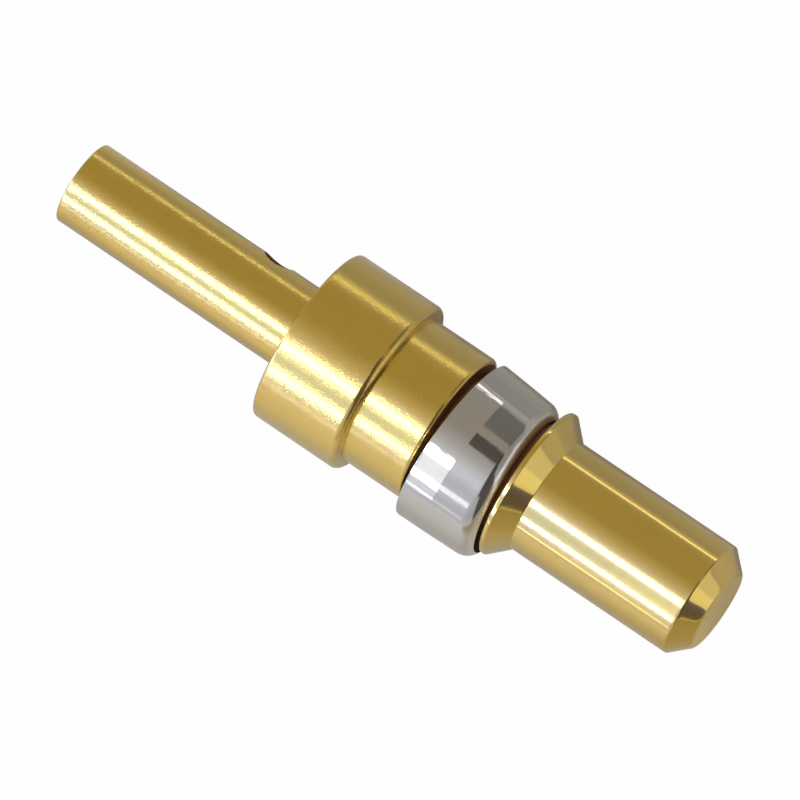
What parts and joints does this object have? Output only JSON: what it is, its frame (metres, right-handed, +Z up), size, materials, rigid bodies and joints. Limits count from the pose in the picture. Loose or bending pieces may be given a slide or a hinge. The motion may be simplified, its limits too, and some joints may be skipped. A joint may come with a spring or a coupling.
{
  "type": "d-sub power contact",
  "caption": "Male power contact for a mixed d-sub connector: turned gold-plated pin with flange, seating collar, hollow wire barrel with inspection hole, and a loose split retention clip.",
  "frame": {"origin": "on the contact's axis, at the collar's front face, which seats against the connector's insulator", "axes": "+X along the axis toward the mating tip, +Z up with the contact lying on its side, +Y toward the inspection hole"},
  "size_m": [0.0222, 0.0055, 0.0054],
  "materials": {
    "gold_plate": "gold plate over turned brass, satin on the barrel, collar and body and polished on the flange and pin",
    "clip_metal": "bright nickel-plated spring metal, polished"
  },
  "bodies": {
    "contact": {"contact_body": "gold_plate"},
    "clip": {"retention_clip": "clip_metal"}
  },
  "joints": [
    {"name": "clip_turn", "type": "hinge", "parent": "contact", "child": "clip", "pos_m": [0.00345, 0, 0], "axis": [1, 0, 0], "continuous": true}
  ]
}
